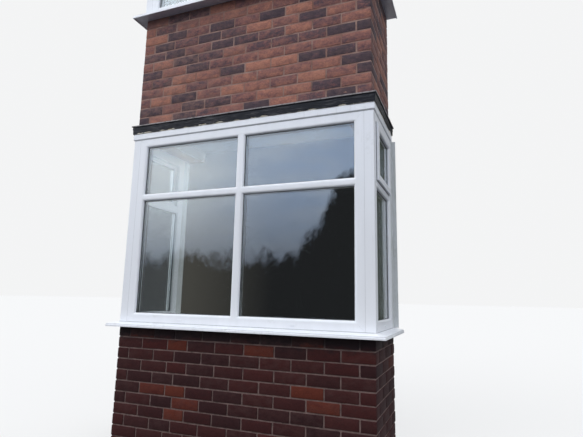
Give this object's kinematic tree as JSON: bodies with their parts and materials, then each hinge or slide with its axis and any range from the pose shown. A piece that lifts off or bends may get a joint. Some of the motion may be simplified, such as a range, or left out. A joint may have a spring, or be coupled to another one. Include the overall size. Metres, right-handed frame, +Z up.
{
  "type": "two-storey square bay window",
  "caption": "Square brick bay with white plastic windows on two storeys, brick base and spandrel, projecting sills and a small hipped slate roof, open to the rooms at the back.",
  "frame": {"origin": "on the ground, at the middle of the bounding box in plan", "axes": "+Z up, -Y out of the house through the front window, +Y into the house, +X to the right seen from outside"},
  "size_m": [2.604, 0.992, 6.0111],
  "materials": {
    "base_brick": "dark red-brown brick with pale mortar",
    "spandrel_brick": "weathered orange-red and purple-grey brick",
    "white_frame": "smooth white plastic, satin gloss",
    "white_sill": "smooth white plastic with rain streaks",
    "white_trim": "smooth white plastic",
    "weathered_trim": "white plastic gone grey with algae",
    "white_board": "white indoor window board",
    "window_glass": "clear sealed glass units",
    "black_flashing": "ragged black sheet with mastic",
    "plaster": "matt painted plaster",
    "concrete": "screeded concrete",
    "timber": "sawn softwood",
    "slate": "blue-grey split slate",
    "lead": "dull weathered lead sheet",
    "black_gutter": "black plastic gutter"
  },
  "bodies": {
    "root": {"base_wall_front": "base_brick", "base_wall_left": "base_brick", "base_wall_right": "base_brick", "ground_floor": "concrete", "ground_sill_front": "white_sill", "ground_sill_left": "white_sill", "ground_sill_right": "white_sill", "ground_frame_front": "white_frame", "ground_frame_left": "white_frame", "ground_frame_right": "white_frame", "ground_corner_posts": "white_frame", "ground_vent_left": "white_frame", "ground_vent_right": "white_frame", "ground_glazing": "window_glass", "ground_head_trim": "white_trim", "ground_wall_fillers": "weathered_trim", "ground_window_board": "white_board", "head_beams": "timber", "flashing": "black_flashing", "spandrel_wall_front": "spandrel_brick", "spandrel_wall_left": "spandrel_brick", "spandrel_wall_right": "spandrel_brick", "wall_plaster": "plaster", "ceilings": "plaster", "floor_joists": "timber", "floor_boards": "timber", "first_sill_front": "white_sill", "first_sill_left": "white_sill", "first_sill_right": "white_sill", "first_frame_front": "white_frame", "first_frame_left": "white_frame", "first_frame_right": "white_frame", "first_corner_posts": "white_frame", "first_vent_left": "white_frame", "first_vent_right": "white_frame", "first_glazing": "window_glass", "first_head_trim": "white_trim", "first_wall_fillers": "weathered_trim", "first_window_board": "white_board", "roof_timbers": "timber", "roof_boards": "timber", "roof_slates": "slate", "roof_leadwork": "lead", "eaves_boards": "white_trim", "gutter": "black_gutter"}
  },
  "joints": []
}
